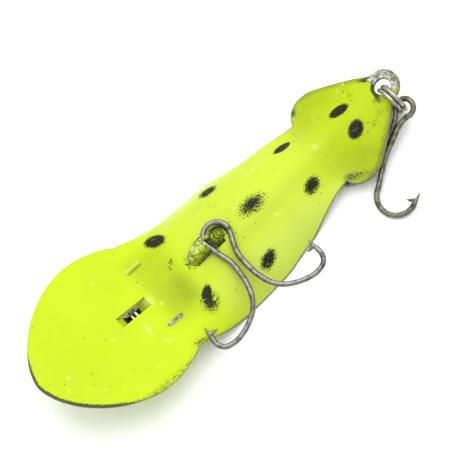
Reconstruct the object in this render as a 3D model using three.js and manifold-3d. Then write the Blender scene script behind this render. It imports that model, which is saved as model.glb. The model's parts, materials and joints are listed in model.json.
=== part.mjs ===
// A stamped sheet-metal trolling lure lying belly up, with its two hooks and two split rings.
// Millimetres. X runs along the lure from the lip to the tail, +Z is up and the table is z = 0.
// Stations along X count from the fold between lip and body. ORIGIN is the table point that becomes 0, 0.
import * as THREE from 'three';
import Module from 'manifold-3d';

const wasm = await Module();
wasm.setup();

// Driving dimensions of the stamped sheet
const SHEET = 0.8;
const LIP_TILT = THREE.MathUtils.degToRad(12);
const LIP_ROOT_Z = 6.8;
const LIP_LENGTH = 27.8;
const LIP_HALF_WIDTH = 16.0;
const LIP_WIDEST_AT = 9.5;
const NECK_HALF_WIDTH = 13.25;
const LIP_BACK_X = -1.2;
const NOTCH_X = 40.6;
const HOLE_X = 57.5;
const HOLE_RADIUS = 1.55;
const TAB_RADIUS = 3.3;
const TAIL_END_X = HOLE_X + TAB_RADIUS;
const FLANK_FOOT = { from: 0, to: 45 };
const ORIGIN = { x: 16.79, y: -2.2 };

// Wire sizes
const HOOK_WIRE = 1.08;
const HOOK_STEPS = 88;
const TAIL_RING_WIRE = 0.86;
const TIE_RING_WIRE = 0.7;
const RING_PITCH = 0.92;
const RING_TURNS = 1.96;
const RING_STEPS = 44;
const WIRE_SEGMENTS = 6;

// Belly hook hanger: a strip lanced up out of the belly
const HANGER = { front: 8.8, back: 17.2, wireX: 12.9, width: 2.9, thick: 0.65, headroom: 1.95 };
const HANGER_NOTCH = { from: 13.4, to: 14.9, left: 0.4 };
// Line tie: a strip lanced down through the lip
const LINE_TIE = { front: -8.4, back: -1.8, ringX: -5.4, width: 2.1, thick: 0.6, depth: 2.5, turn: -5 };
// Gusset ribs across the fold between lip and body
const RIB = { y: 6.8, length: 3.8, width: 1.1, rise: 0.55 };

// Side profile and plan of the sheet: [x, value] stations joined by smooth curves
const RIDGE_HEIGHT = [[-1.2, 7.05], [1, 6.5], [3.5, 6.32], [9, 6.55], [14, 6.6], [19, 6.75],
  [26, 7.05], [33, 7.1], [42, 6.9], [50, 6.45], [55, 6.05], [57, 6.1], [61, 6.8]];
const EDGE_HEIGHT = [[-1.2, 7.05], [1.6, 5.1], [3.5, 3.4], [6, 1.5], [9, 0.2], [11, -0.3], [28, -0.3],
  [31, 0.7], [34, 2.0], [38, 3.0], [41, 3.2], [57, 6.1], [61, 6.8]];
const BODY_HALF_WIDTH = [[-1.2, 13.35], [1.6, 13.25], [6, 13.3], [12, 13.1], [16, 12.95], [20.6, 12.65],
  [25, 11.7], [29, 10.8], [33.6, 9.55], [37.6, 8.35], [40.6, 7.8]];
const TAIL_HALF_WIDTH = [[40.6, 7.8], [41.1, 9.0], [42.3, 10.2], [44.5, 10.9], [46.6, 10.6], [49, 9.3],
  [52, 7.3], [55, 5.1], [56.4, 3.9], [57.3, 3.35]];
const CROWN_HALF_WIDTH = [[38, 8.4], [44, 8.2], [50, 6.2], [55, 4.2], [61, 3]];

// A smooth curve through stations, without overshoot (Fritsch-Carlson slopes)
function curve(stations) {
  const xs = stations.map((s) => s[0]);
  const ys = stations.map((s) => s[1]);
  const rises = xs.slice(1).map((x, i) => (ys[i + 1] - ys[i]) / (x - xs[i]));
  const slopes = xs.map((_, i) => {
    if (i === 0 || i === xs.length - 1) return rises[Math.min(i, rises.length - 1)];
    const [before, after] = [rises[i - 1], rises[i]];
    return before * after <= 0 ? 0 : (2 * before * after) / (before + after);
  });
  return (x) => {
    const at = Math.min(Math.max(x, xs[0]), xs[xs.length - 1]);
    let i = xs.findIndex((v) => v >= at) - 1;
    i = Math.max(i, 0);
    const h = xs[i + 1] - xs[i];
    const t = (at - xs[i]) / h;
    return ys[i] * (1 + 2 * t) * (1 - t) ** 2 + ys[i + 1] * t * t * (3 - 2 * t)
      + h * (slopes[i] * t * (1 - t) ** 2 - slopes[i + 1] * t * t * (1 - t));
  };
}

const ridgeHeight = curve(RIDGE_HEIGHT);
const edgeHeight = curve(EDGE_HEIGHT);
const bodyHalfWidth = curve(BODY_HALF_WIDTH);
const tailHalfWidth = curve(TAIL_HALF_WIDTH);
const crownHalfWidth = curve(CROWN_HALF_WIDTH);

// Height of the lip's flat top face at x
const lipHeight = (x) => LIP_ROOT_Z - x * Math.tan(LIP_TILT);

// Half width of the sheet in plan
function halfWidth(x) {
  if (x <= 0) {
    const along = -x / Math.cos(LIP_TILT);
    if (along < LIP_WIDEST_AT) {
      const back = (LIP_WIDEST_AT - along) / LIP_WIDEST_AT;
      return LIP_HALF_WIDTH - (LIP_HALF_WIDTH - NECK_HALF_WIDTH) * back ** 2;
    }
    const t = Math.min((along - LIP_WIDEST_AT) / (LIP_LENGTH - LIP_WIDEST_AT), 1);
    return LIP_HALF_WIDTH * (1 - t ** 1.75) ** 0.6;
  }
  if (x <= NOTCH_X) return bodyHalfWidth(x);
  const tab = x > HOLE_X ? Math.sqrt(Math.max(TAB_RADIUS ** 2 - (x - HOLE_X) ** 2, 0)) : 0;
  return x > HOLE_X ? tab : tailHalfWidth(x);
}

// Height of the sheet's belly face at (x, y)
function height(x, y) {
  if (x <= LIP_BACK_X) return lipHeight(x);
  const edge = edgeHeight(x);
  const crown = x < NOTCH_X - 1 ? halfWidth(x) : crownHalfWidth(x);
  const t = Math.min(Math.abs(y) / crown, 1);
  const dome = (1 - t ** 1.7) ** 0.59;
  const bell = 0.5 + 0.5 * Math.cos(Math.PI * t);
  const flat = THREE.MathUtils.smoothstep(x, 29, NOTCH_X);
  return edge + (ridgeHeight(x) - edge) * (dome + (bell - dome) * flat);
}

// Unit normal of the belly face, pointing up and out
function normal(x, y) {
  const d = 0.01;
  const side = Math.min(Math.max(y, -halfWidth(x) + d), halfWidth(x) - d);
  const dx = (height(x + d, side) - height(x - d, side)) / (2 * d);
  const dy = (height(x, side + d) - height(x, side - d)) / (2 * d);
  return new THREE.Vector3(-dx, -dy, 1).normalize();
}

// Conversion between three.js geometry and manifold solids
function solid(geometry) {
  const whole = geometry.index ? geometry.toNonIndexed() : geometry;
  const at = whole.attributes.position;
  const keys = new Map();
  const points = [];
  const triangles = [];
  for (let i = 0; i < at.count; i += 1) {
    const p = [at.getX(i), at.getY(i), at.getZ(i)];
    const key = p.map((v) => Math.round(v * 1e4)).join();
    if (!keys.has(key)) {
      keys.set(key, points.length / 3);
      points.push(...p);
    }
    triangles.push(keys.get(key));
  }
  const kept = [];
  for (let i = 0; i < triangles.length; i += 3) {
    const [a, b, c] = triangles.slice(i, i + 3);
    if (a !== b && b !== c && c !== a) kept.push(a, b, c);
  }
  const mesh = { numProp: 3, vertProperties: new Float32Array(points), triVerts: new Uint32Array(kept) };
  return new wasm.Manifold(new wasm.Mesh(mesh));
}

function geometryOf(manifold) {
  const mesh = manifold.getMesh();
  const geometry = new THREE.BufferGeometry();
  geometry.setAttribute('position', new THREE.BufferAttribute(new Float32Array(mesh.vertProperties), 3));
  geometry.setIndex(new THREE.BufferAttribute(new Uint32Array(mesh.triVerts), 1));
  return geometry;
}

function box(x0, x1, y0, y1, z0, z1) {
  const geometry = new THREE.BoxGeometry(x1 - x0, y1 - y0, z1 - z0);
  geometry.translate((x0 + x1) / 2, (y0 + y1) / 2, (z0 + z1) / 2);
  return solid(geometry);
}

// A strip of the given width, centred on y = 0, whose side outline is a list of [x, z]
function strip(outline, width) {
  const shape = new THREE.Shape(outline.map(([x, z]) => new THREE.Vector2(x, z)));
  const geometry = new THREE.ExtrudeGeometry(shape, { depth: width, bevelEnabled: false });
  geometry.rotateX(Math.PI / 2);
  geometry.translate(0, width / 2, 0);
  return solid(geometry);
}

// A strip's side outline from its upper line, thickened downwards
const thicken = (line, thick) => [...line, ...line.map(([x, z]) => [x, z - thick]).reverse()];

// Round wire along a path
function wire(points, diameter, steps, closed = false) {
  const path = new THREE.CatmullRomCurve3(points.map((p) => new THREE.Vector3(...p)), closed, 'centripetal');
  const section = new THREE.Shape();
  section.absarc(0, 0, diameter / 2, 0, 2 * Math.PI, false);
  const options = { steps, extrudePath: path, curveSegments: WIRE_SEGMENTS, bevelEnabled: false };
  return solid(new THREE.ExtrudeGeometry(section, options));
}

// A cone from its base centre to its tip
function spike(base, tip, diameter) {
  const from = new THREE.Vector3(...base);
  const to = new THREE.Vector3(...tip);
  const geometry = new THREE.ConeGeometry(diameter / 2, from.distanceTo(to), 8);
  geometry.translate(0, from.distanceTo(to) / 2, 0);
  const way = to.clone().sub(from).normalize();
  const turn = new THREE.Quaternion().setFromUnitVectors(new THREE.Vector3(0, 1, 0), way);
  geometry.applyQuaternion(turn);
  geometry.translate(...base);
  return solid(geometry);
}

// The bare stamped shell, before its lances, ribs and hole are made
function shell() {
  const front = -LIP_LENGTH * Math.cos(LIP_TILT) + 0.05;
  const stations = [];
  const spans = [[front, LIP_BACK_X, 15], [LIP_BACK_X, 12, 12], [12, NOTCH_X, 13],
    [NOTCH_X, TAIL_END_X - 0.05, 22]];
  spans.forEach(([from, to, count], s) => {
    for (let i = s === 0 ? 0 : 1; i <= count; i += 1) {
      const t = i / count;
      const eased = { 0: 1 - Math.cos((Math.PI / 2) * t), 3: Math.sin((Math.PI / 2) * t) }[s] ?? t;
      stations.push(from + (to - from) * eased);
    }
  });
  const across = 16;
  const top = [];
  const bottom = [];
  stations.forEach((x) => {
    for (let j = 0; j <= across; j += 1) {
      const y = halfWidth(x) * Math.sin((Math.PI / 2) * ((2 * j) / across - 1));
      const point = new THREE.Vector3(x, y, height(x, y));
      top.push(point);
      bottom.push(point.clone().addScaledVector(normal(x, y), -SHEET));
    }
  });
  const all = [...top, ...bottom];
  const row = across + 1;
  const count = top.length;
  const index = [];
  const quad = (a, b, c, d) => index.push(a, b, c, a, c, d);
  for (let i = 0; i < stations.length - 1; i += 1) {
    for (let j = 0; j < across; j += 1) {
      const a = i * row + j;
      quad(a, a + row, a + row + 1, a + 1);
      quad(count + a, count + a + 1, count + a + row + 1, count + a + row);
    }
    const right = i * row;
    const left = right + across;
    quad(right, count + right, count + right + row, right + row);
    quad(left, left + row, count + left + row, count + left);
  }
  for (let j = 0; j < across; j += 1) {
    const last = (stations.length - 1) * row + j;
    quad(j, j + 1, count + j + 1, count + j);
    quad(last, count + last, count + last + 1, last + 1);
  }
  const geometry = new THREE.BufferGeometry();
  const flat = new Float32Array(all.flatMap((p) => [p.x, p.y, p.z]));
  geometry.setAttribute('position', new THREE.BufferAttribute(flat, 3));
  geometry.setIndex(index);
  return solid(geometry);
}

function lureBody() {
  let body = shell().subtract(box(FLANK_FOOT.from, FLANK_FOOT.to, -20, 20, -5, 0));

  // Hook hanger, worn through on its right side where the hook's eye comes out
  const ridge = ridgeHeight(HANGER.wireX);
  const apex = ridge + HANGER.headroom + HANGER.thick;
  const hangerTop = [[HANGER.front - 0.5, ridge - 0.15], [HANGER.front + 0.3, ridge + 0.8],
    [HANGER.front + 1.5, ridge + 1.8], [HANGER.wireX - 0.7, apex], [HANGER.wireX + 1.2, apex],
    [HANGER.back - 0.8, ridge + 1.0], [HANGER.back + 0.4, ridge - 0.05]];
  const slotHalf = HANGER.width / 2 + 0.05;
  const { from, to, left } = HANGER_NOTCH;
  const bridge = strip(thicken(hangerTop, HANGER.thick), HANGER.width);
  body = body.subtract(box(HANGER.front + 0.9, HANGER.back - 0.9, -slotHalf, slotHalf, 4, 8));
  body = body.add(bridge.subtract(box(from, to, -HANGER.width, left, ridge + 1, apex + 1)));

  // Line tie, a few degrees out of line
  const floor = lipHeight(LINE_TIE.ringX) - LINE_TIE.depth;
  const tieTop = [[LINE_TIE.front - 0.5, lipHeight(LINE_TIE.front - 0.5) - 0.08],
    [LINE_TIE.front + 0.4, lipHeight(LINE_TIE.front) - 0.3], [LINE_TIE.ringX - 1.2, floor],
    [LINE_TIE.ringX + 1.2, floor - 0.25], [LINE_TIE.back - 0.2, lipHeight(LINE_TIE.back) - 0.3],
    [LINE_TIE.back + 0.5, lipHeight(LINE_TIE.back + 0.5) - 0.08]];
  const tieHalf = LINE_TIE.width / 2 + 0.05;
  const turned = (piece) => piece.translate([-LINE_TIE.ringX, 0, 0]).rotate([0, 0, LINE_TIE.turn])
    .translate([LINE_TIE.ringX, 0, 0]);
  body = body.subtract(turned(box(LINE_TIE.front, LINE_TIE.back, -tieHalf, tieHalf, 5, 10)));
  body = body.add(turned(strip(thicken(tieTop, LINE_TIE.thick), LINE_TIE.width)));

  // Gusset ribs, sunk into the sheet on both sides of the fold
  [-1, 1].forEach((side) => {
    const half = RIB.length / 2;
    const y = side * RIB.y;
    const root = (x) => [x, height(x, y) - SHEET / 2];
    const rise = [[-half, lipHeight(-half) + 0.05], [-half * 0.5, lipHeight(-half * 0.5) + RIB.rise * 0.8],
      [half * 0.4, lipHeight(0) + RIB.rise * 0.6], [half, height(half, y) + 0.05],
      root(half * 0.6), root(0), root(-half * 0.6)];
    body = body.add(strip(rise, RIB.width).translate([0, y, 0]));
  });

  // Hole for the tail ring
  const hole = new THREE.CylinderGeometry(HOLE_RADIUS, HOLE_RADIUS, 6, 24).rotateX(Math.PI / 2);
  hole.translate(HOLE_X, 0, height(HOLE_X, 0));
  return body.subtract(solid(hole));
}

// A wire hook in its own plane: u runs from the eye to the bends, v to the side
const BELLY_HOOK = { x: 15.75, y: 1.9, z: 7.6, turn: 87.5, droop: 9.65 };
const BELLY_LOOP = { centre: [1.9, 0.2], radius: 2.6 };
const BELLY_LEG = [[5.4, 1.55], [7.4, 1.0], [9.9, 1.0], [12.5, 1.3], [15.2, 2.2], [17.0, 3.5],
  [18.4, 5.6], [19.3, 8.0], [19.55, 9.9], [19.0, 11.9], [17.6, 12.75]];
const BELLY_POINT = { root: [15.9, 12.7], tip: [13.6, 12.5], barb: [15.5, 10.8] };

const TAIL_HOOK = { x: 57.7, y: -5.45, z: 4.2, turn: 20, droop: 11 };
const TAIL_EYE_RADIUS = 1.8;
const TAIL_SHANK = 0.56;
const TAIL_BEND = { centre: [15.3, 5.75], radius: 3.9 };
const TAIL_POINT = { root: [15.4, 9.65], tip: [13.0, 9.75], barb: [15.4, 7.8] };
// The leg under the tail is bent a little shorter
const UNDER_BEND = { centre: [14.0, 5.25], radius: 3.4 };
const UNDER_POINT = { root: [14.1, 8.65], tip: [11.7, 8.75], barb: [14.1, 6.8] };

// Puts a hook's own plane into the lure: u, v and the way from the plane, turned and drooped
function hookFrame(hook) {
  const droop = THREE.MathUtils.degToRad(hook.droop);
  const across = THREE.MathUtils.degToRad(hook.turn);
  const flat = new THREE.Vector3(-Math.cos(across), -Math.sin(across), 0);
  const u = flat.clone().multiplyScalar(Math.cos(droop)).add(new THREE.Vector3(0, 0, -Math.sin(droop)));
  const v = new THREE.Vector3(Math.sin(across), -Math.cos(across), 0);
  const origin = new THREE.Vector3(hook.x, hook.y, hook.z);
  return ([along, side]) => origin.clone().addScaledVector(u, along).addScaledVector(v, side).toArray();
}

// Two legs, the second one mirrored, and the loop between them make one wire
function doubleHook(leg, loop, point, place, otherLeg = leg, otherPoint = point) {
  const mirrored = [...otherLeg, otherPoint.root].map(([u, v]) => [u, -v]);
  const line = [point.root, ...[...leg].reverse(), ...loop, ...mirrored];
  let hook = wire(line.map(place), HOOK_WIRE, HOOK_STEPS);
  [[1, point], [-1, otherPoint]].forEach(([side, { root, tip, barb }]) => {
    const flip = ([u, v]) => [u, v * side];
    const inward = [root[0] - (tip[0] - root[0]) * 0.1, root[1]];
    hook = hook.add(spike(place(flip(inward)), place(flip(tip)), HOOK_WIRE * 0.96));
    hook = hook.add(spike(place(flip(root)), place(flip(barb)), HOOK_WIRE * 0.75));
  });
  return hook;
}

function arc(centre, radius, from, to, count) {
  return Array.from({ length: count }, (_, i) => {
    const angle = THREE.MathUtils.degToRad(from + ((to - from) * i) / (count - 1));
    return [centre[0] + radius * Math.cos(angle), centre[1] + radius * Math.sin(angle)];
  });
}

function bellyDoubleHook() {
  const rise = BELLY_HOOK.y * Math.tan(THREE.MathUtils.degToRad(BELLY_HOOK.droop));
  const loop = arc(BELLY_LOOP.centre, BELLY_LOOP.radius, 65, 295, 13);
  return doubleHook(BELLY_LEG, loop, BELLY_POINT, hookFrame({ ...BELLY_HOOK, z: BELLY_HOOK.z + rise }));
}

function tailDoubleHook() {
  const shank = [[3.4, TAIL_SHANK], [6, TAIL_SHANK], [9, TAIL_SHANK + 0.05]];
  const leg = [...shank, [12, 1.1], ...arc(TAIL_BEND.centre, TAIL_BEND.radius, -90, 80, 9)];
  const underLeg = [...shank, [11.2, 1.05], ...arc(UNDER_BEND.centre, UNDER_BEND.radius, -90, 80, 9)];
  const loop = arc([0, 0], TAIL_EYE_RADIUS, 40, 320, 11);
  return doubleHook(leg, loop, TAIL_POINT, hookFrame(TAIL_HOOK), underLeg, UNDER_POINT);
}

// A split ring: two turns of wire side by side, in a plane across the lure
function splitRing(x, y, z, radius, start, thickness) {
  const points = Array.from({ length: RING_STEPS + 1 }, (_, i) => {
    const angle = start + (i / RING_STEPS) * RING_TURNS * 2 * Math.PI;
    const along = x + (i / RING_STEPS - 0.5) * RING_TURNS * RING_PITCH;
    return [along, y + radius * Math.cos(angle), z + radius * Math.sin(angle)];
  });
  return wire(points, thickness, RING_STEPS);
}

const TAIL_RING = { x: HOLE_X, y: -2.5, z: 4.2, radius: 2.95 };
const TIE_RING_RADIUS = 2.7;
const TIE_RING_CLEARANCE = 0.5;

const PAINT = new THREE.MeshStandardMaterial({ color: 0xd2f02d, roughness: 0.45, metalness: 0 });
const STEEL = { roughness: 0.38, metalness: 1 };
const lipUnderside = lipHeight(LINE_TIE.ringX) - SHEET / Math.cos(LIP_TILT);
const tieRingTop = lipUnderside - TIE_RING_CLEARANCE - TIE_RING_WIRE / 2 + 0.2;

const PIECES = {
  lure_body: [lureBody(), PAINT],
  belly_double_hook: [bellyDoubleHook(), new THREE.MeshStandardMaterial({ color: 0x8d897c, ...STEEL })],
  tail_split_ring: [splitRing(TAIL_RING.x, TAIL_RING.y, TAIL_RING.z, TAIL_RING.radius, 0.6,
    TAIL_RING_WIRE),
    new THREE.MeshStandardMaterial({ color: 0xb9b7b0, ...STEEL })],
  tail_double_hook: [tailDoubleHook(), new THREE.MeshStandardMaterial({ color: 0x8f8c80, ...STEEL })],
  line_tie_split_ring: [splitRing(LINE_TIE.ringX, 0, tieRingTop - TIE_RING_RADIUS, TIE_RING_RADIUS,
    -0.9, TIE_RING_WIRE),
    new THREE.MeshStandardMaterial({ color: 0xc4c2bb, ...STEEL })],
};

const lure = new THREE.Group();
Object.entries(PIECES).forEach(([name, [manifold, material]]) => {
  const mesh = new THREE.Mesh(geometryOf(manifold), material);
  mesh.name = name;
  lure.add(mesh);
});
lure.position.set(-ORIGIN.x, -ORIGIN.y, 0);
export default lure;
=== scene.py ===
"""Looks of a stamped sheet-metal trolling lure that lies belly up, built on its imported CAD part.

Lengths are in millimetres in the fold frame, whose origin is under the fold between lip and body:
x runs to the tail, y to the side away from the hook bends and z up. place() turns them into metres.
"""

import json
import math

import bmesh
import bpy
import numpy as np
from mathutils import Matrix, Vector


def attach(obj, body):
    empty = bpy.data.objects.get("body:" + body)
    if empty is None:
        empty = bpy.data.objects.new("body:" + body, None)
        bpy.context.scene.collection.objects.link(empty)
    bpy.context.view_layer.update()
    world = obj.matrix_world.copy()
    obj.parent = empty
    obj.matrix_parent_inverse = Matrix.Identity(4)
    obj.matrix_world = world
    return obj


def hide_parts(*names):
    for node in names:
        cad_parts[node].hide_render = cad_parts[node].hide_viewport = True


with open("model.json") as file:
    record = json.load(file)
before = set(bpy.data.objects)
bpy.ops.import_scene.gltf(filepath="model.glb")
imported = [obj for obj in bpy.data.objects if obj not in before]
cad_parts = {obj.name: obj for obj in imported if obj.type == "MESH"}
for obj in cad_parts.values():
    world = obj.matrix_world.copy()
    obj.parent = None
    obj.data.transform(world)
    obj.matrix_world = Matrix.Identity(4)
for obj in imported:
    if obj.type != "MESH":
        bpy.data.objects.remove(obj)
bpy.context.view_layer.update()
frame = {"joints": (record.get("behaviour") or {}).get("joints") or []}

MM = 0.001
HOLE_X = 57.5
TAIL_SWING_AXIS = (HOLE_X, -5.45, 4.2)
JOINTS = {joint["name"]: joint for joint in frame["joints"]}
ORIGIN = np.array(JOINTS["tail_hook_swing"]["pos_m"]) / MM - np.array(TAIL_SWING_AXIS)

# The stamped sheet
SHEET = 0.8
LIP_TILT = math.radians(12)
LIP_ROOT_Z = 6.8
LIP_LENGTH = 27.8
LIP_HALF_WIDTH = 16.0
LIP_WIDEST_AT = 9.5
NECK_HALF_WIDTH = 13.25
LIP_BACK_X = -1.2
NOTCH_X = 40.6
HOLE_RADIUS = 1.65
TAB_RADIUS = 3.3
TAIL_END_X = HOLE_X + TAB_RADIUS
ROLLED_EDGE = 0.16

RIDGE_HEIGHT = [(-1.2, 7.05), (1, 6.5), (3.5, 6.32), (9, 6.55), (14, 6.6), (19, 6.75),
                (26, 7.05), (33, 7.1), (42, 6.9), (50, 6.45), (55, 6.05), (57, 6.1), (61, 6.8)]
EDGE_HEIGHT = [(-1.2, 7.05), (1.6, 5.1), (3.5, 3.4), (6, 1.5), (9, 0.2), (11, -0.3), (28, -0.3),
               (31, 0.7), (34, 2.0), (38, 3.0), (41, 3.2), (57, 6.1), (61, 6.8)]
BODY_HALF_WIDTH = [(-1.2, 13.35), (1.6, 13.25), (6, 13.3), (12, 13.1), (16, 12.95), (20.6, 12.65),
                   (25, 11.7), (29, 10.8), (33.6, 9.55), (37.6, 8.35), (40.6, 7.8)]
TAIL_HALF_WIDTH = [(40.6, 7.8), (41.1, 9.0), (42.3, 10.2), (44.5, 10.9), (46.6, 10.6), (49, 9.3),
                   (52, 7.3), (55, 5.1), (56.4, 3.9), (57.3, 3.35)]
CROWN_HALF_WIDTH = [(38, 8.4), (44, 8.2), (50, 6.2), (55, 4.2), (61, 3)]

# Strips lanced out of the sheet, and the two pressed ribs
BRIDGE = {"width": 2.9, "thick": 0.55, "left_drop": 0.25, "right_drop": 1.0}
BRIDGE_SLOT = {"from": 9.4, "to": 16.6, "half_width": 1.55}
BRIDGE_RISE = [(8.0, -0.3), (8.7, 0.3), (9.3, 1.0), (10.3, 1.9), (11.6, 2.4), (13.0, 2.58), (14.2, 2.35),
               (15.3, 1.65), (16.3, 0.8), (17.2, 0.1), (17.9, -0.3)]
BRIDGE_NOTCH = {"from": 13.45, "to": 14.8, "left": 0.45, "low": 7.0, "high": 11.0}
LINE_TIE = {"front": -8.4, "back": -1.8, "ring_x": -5.4, "spray_x": -5.7, "width": 2.13, "slot_width": 2.29,
            "thick": 0.6, "depth": 2.5, "turn": 1}
STRIP_CORNER = 0.16
RIB = {"half_length": 1.95, "half_width": 0.42, "rise": 0.5}
# Centre x, y and turn in degrees
LEFT_RIB = (0.3, 7.3, 8)
RIGHT_RIB = (-0.3, -6.5, 5)
# Heights between which a cutter passes right through the sheet
CUT_LOW, CUT_HIGH = 2.0, 11.0

# Wire; a ring's start is the angle of its first cut end in radians
HOOK_WIRE = 1.08
RING_PITCH = 0.92
RING_TURNS = 1.96
TAIL_RING = {"radius": 2.95, "start": 0.6, "wire": 0.86}
TAIL_RING_CENTRE = (HOLE_X, -2.5, 4.2)
TIE_RING = {"radius": 2.7, "start": -0.9, "wire": 0.7}
# From the underside of the lip down to the top of the ring on the line tie
TIE_RING_GAP = 0.3

# Hooks: an eye's place in the fold frame and turns in degrees; other points are in the hook's own plane
BELLY_HOOK = {"eye": (15.75, 1.9, 7.923), "turn": 87.5, "droop": 9.65}
BELLY_LOOP = {"centre": (1.9, 0.2), "radius": 2.6, "from": 65, "to": 295, "count": 13}
BELLY_LEG = [(5.4, 1.55), (7.4, 1.0), (9.9, 1.0), (12.5, 1.3), (15.2, 2.2), (17.0, 3.5),
             (18.4, 5.6), (19.3, 8.0), (19.55, 9.9), (19.0, 11.9), (17.6, 12.75)]
BELLY_POINT = {"root": (15.9, 12.7), "tip": (13.6, 12.5), "barb": (15.5, 10.8)}
TAIL_HOOK = {"eye": (57.7, -5.45, 4.2), "turn": 20, "droop": 11}
TAIL_LOOP = {"centre": (0.0, 0.0), "radius": 1.8, "from": 40, "to": 320, "count": 11}
TAIL_SHANK = [(3.4, 0.56), (6, 0.56), (9, 0.61)]
TAIL_BEND = {"centre": (15.3, 5.75), "radius": 3.9, "from": -90, "to": 80, "count": 9}
TAIL_POINT = {"root": (15.4, 9.65), "tip": (13.0, 9.75), "barb": (15.4, 7.8)}
UNDER_BEND = {"centre": (14.0, 5.25), "radius": 3.4, "from": -90, "to": 80, "count": 9}
UNDER_POINT = {"root": (14.1, 8.65), "tip": (11.7, 8.75), "barb": (14.1, 6.8)}
# Length over which a hook's wire thins to its point
POINT_TAPER = 2.8

# Black spots on the belly face: centre x, y, half length, half width, turn in degrees, speckle 0 to 1
SPOTS = [(6.7, 9.2, 2.2, 1.5, 143, 0.2), (20.3, 9.7, 1.9, 1.0, 165, 0.4), (36.1, 5.4, 1.9, 0.9, 172, 0.1),
         (48.5, 2.5, 2.1, 1.2, 171, 0.08), (48.4, -2.6, 1.95, 1.3, 23, 0.15), (24.6, 0.1, 2.5, 1.5, 172, 0.9),
         (35.2, -4.7, 1.8, 1.1, 21, 0.45), (19.9, -9.1, 2.0, 1.1, 17, 0.45), (7.2, -6.3, 1.7, 0.95, 38, 0.2),
         (6.7, -7.7, 1.7, 1.35, 60, 1.0)]
# Values of a mark where there is none of it
NO_SPOT = -2.0
NO_BARE = -0.6

# Round marks on the belly face: painted shadow under the belly hook's loop, and a worn ring at the waist
LOOP_SHADOW = {"x": 16.1, "y": 0.1, "radius": 1.9}
WAIST_RING = {"x": 40.5, "radius": 0.4}

# Soft patches of a mark: strength, centre x, y, reach along and across, turn in degrees
NOTCH_DIRT = [(0.56, 41.8, -8.0, 1.8, 0.9, -45), (0.38, 44.0, -9.2, 2.4, 1.2, -45),
              (0.6, 42.4, 9.7, 0.8, 1.1, 0)]
TAIL_DIRT = [(0.7, 56.3, 3.3, 2.0, 0.6, -40), (0.6, 55.2, -1.2, 1.2, 1.0, 0), (0.35, 54, -3.5, 2.0, 1.5, 0),
             (0.42, 52, 3.4, 0.8, 0.8, 0), (0.4, 51.5, -4.1, 1.0, 0.8, 0), (0.3, 50, -8, 5, 1.2, 30)]
FRONT_DIRT = [(0.33, -9, -15.2, 9, 1.3, 4), (0.45, 0.5, -12.6, 2.2, 1.0, 0), (0.62, 6.4, 3.2, 0.9, 0.5, 60),
              (0.6, 5.3, 2.2, 0.4, 0.6, 0), (0.25, 8.6, 11.3, 3.0, 1.2, 0), (0.24, 4, -5, 3, 3, 0)]
# Its first row is a painted shadow along the left side of the bridge; the others are grime at its front foot
# and beyond
BRIDGE_GRIME_AND_SHADOW = [(1.0, 12.8, 2.4, 2.0, 0.45, 0), (0.5, 8.3, 0.3, 0.7, 1.8, 0), (0.25, 20, 3, 3, 1.4, 0)]
CRACKED = [(0.9, 8.6, 0, 1.1, 1.9, 0), (0.5, 17.2, 0, 1.0, 1.4, 0), (0.5, 5.8, 2.6, 1.2, 1.0, 0)]
WORN_PALE = [(0.42, -5.2, -4.7, 1.1, 0.35, 85), (0.38, -4.0, -8.7, 0.8, 0.3, -55),
             (0.5, -1.4, -0.1, 0.6, 0.9, 0)]
TAIL_SHADE = [(0.15, 46, -7, 4, 3, 0)]
RAMP_SHADE = [(0.3, 4.4, -2.6, 3.0, 3.0, 0)]
BODY_SHADE = [(0.2, 26, -2.8, 12, 1.2, 4), (0.12, 39, 6, 4, 3, 0)]

# Light and camera: metres, and angles in degrees
TENT_AT_TABLE, TENT_OVERHEAD = 0.65, 1.27
KEY_LIGHT_AT = (0.27, 0.15, 0.54)
KEY_LIGHT_SIZE = 0.9
KEY_LIGHT_WATTS = 3.9
FLOOR_REACH = 1.5
CAMERA = {"azimuth": 2.85, "elevation": 66.0, "roll": 40.3, "distance": 0.48, "lens": 203.5, "sensor": 36.0}
CAMERA_TARGET = (18.5, 3.3, 1.2)


def place(points):
    """Fold-frame millimetres to row-frame metres."""
    return (np.asarray(points, float) + ORIGIN) * MM


def fold_points(mesh):
    """A mesh's vertices in fold-frame millimetres."""
    flat = np.empty(len(mesh.vertices) * 3)
    mesh.vertices.foreach_get("co", flat)
    return flat.reshape(-1, 3) / MM - ORIGIN


# --- Shape of the sheet -------------------------------------------------------------------------

def curve(stations):
    """A smooth function through stations, without overshoot (Fritsch-Carlson slopes)."""
    xs, ys = np.array(stations, float).T
    rises = np.diff(ys) / np.diff(xs)
    slopes = np.concatenate([rises[:1], np.zeros(len(xs) - 2), rises[-1:]])
    before, after = rises[:-1], rises[1:]
    same_way = before * after > 0
    slopes[1:-1][same_way] = (2 * before * after)[same_way] / (before + after)[same_way]

    def at(x):
        x = np.clip(np.asarray(x, float), xs[0], xs[-1])
        i = np.clip(np.searchsorted(xs, x) - 1, 0, len(xs) - 2)
        h = xs[i + 1] - xs[i]
        t = (x - xs[i]) / h
        blend = ys[i] * (1 + 2 * t) * (1 - t) ** 2 + ys[i + 1] * t * t * (3 - 2 * t)
        return blend + h * (slopes[i] * t * (1 - t) ** 2 - slopes[i + 1] * t * t * (1 - t))

    return at


ridge_height = curve(RIDGE_HEIGHT)
edge_height = curve(EDGE_HEIGHT)
body_half_width = curve(BODY_HALF_WIDTH)
tail_half_width = curve(TAIL_HALF_WIDTH)
crown_half_width = curve(CROWN_HALF_WIDTH)
bridge_rise = curve(BRIDGE_RISE)


def smoothstep(value, low, high):
    """Smooth step from 0 at low to 1 at high; high may be the smaller."""
    t = np.clip((value - low) / (high - low), 0, 1)
    return t * t * (3 - 2 * t)


def lip_height(x):
    """Height of the lip's upper face."""
    return LIP_ROOT_Z - np.asarray(x, float) * math.tan(LIP_TILT)


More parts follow.
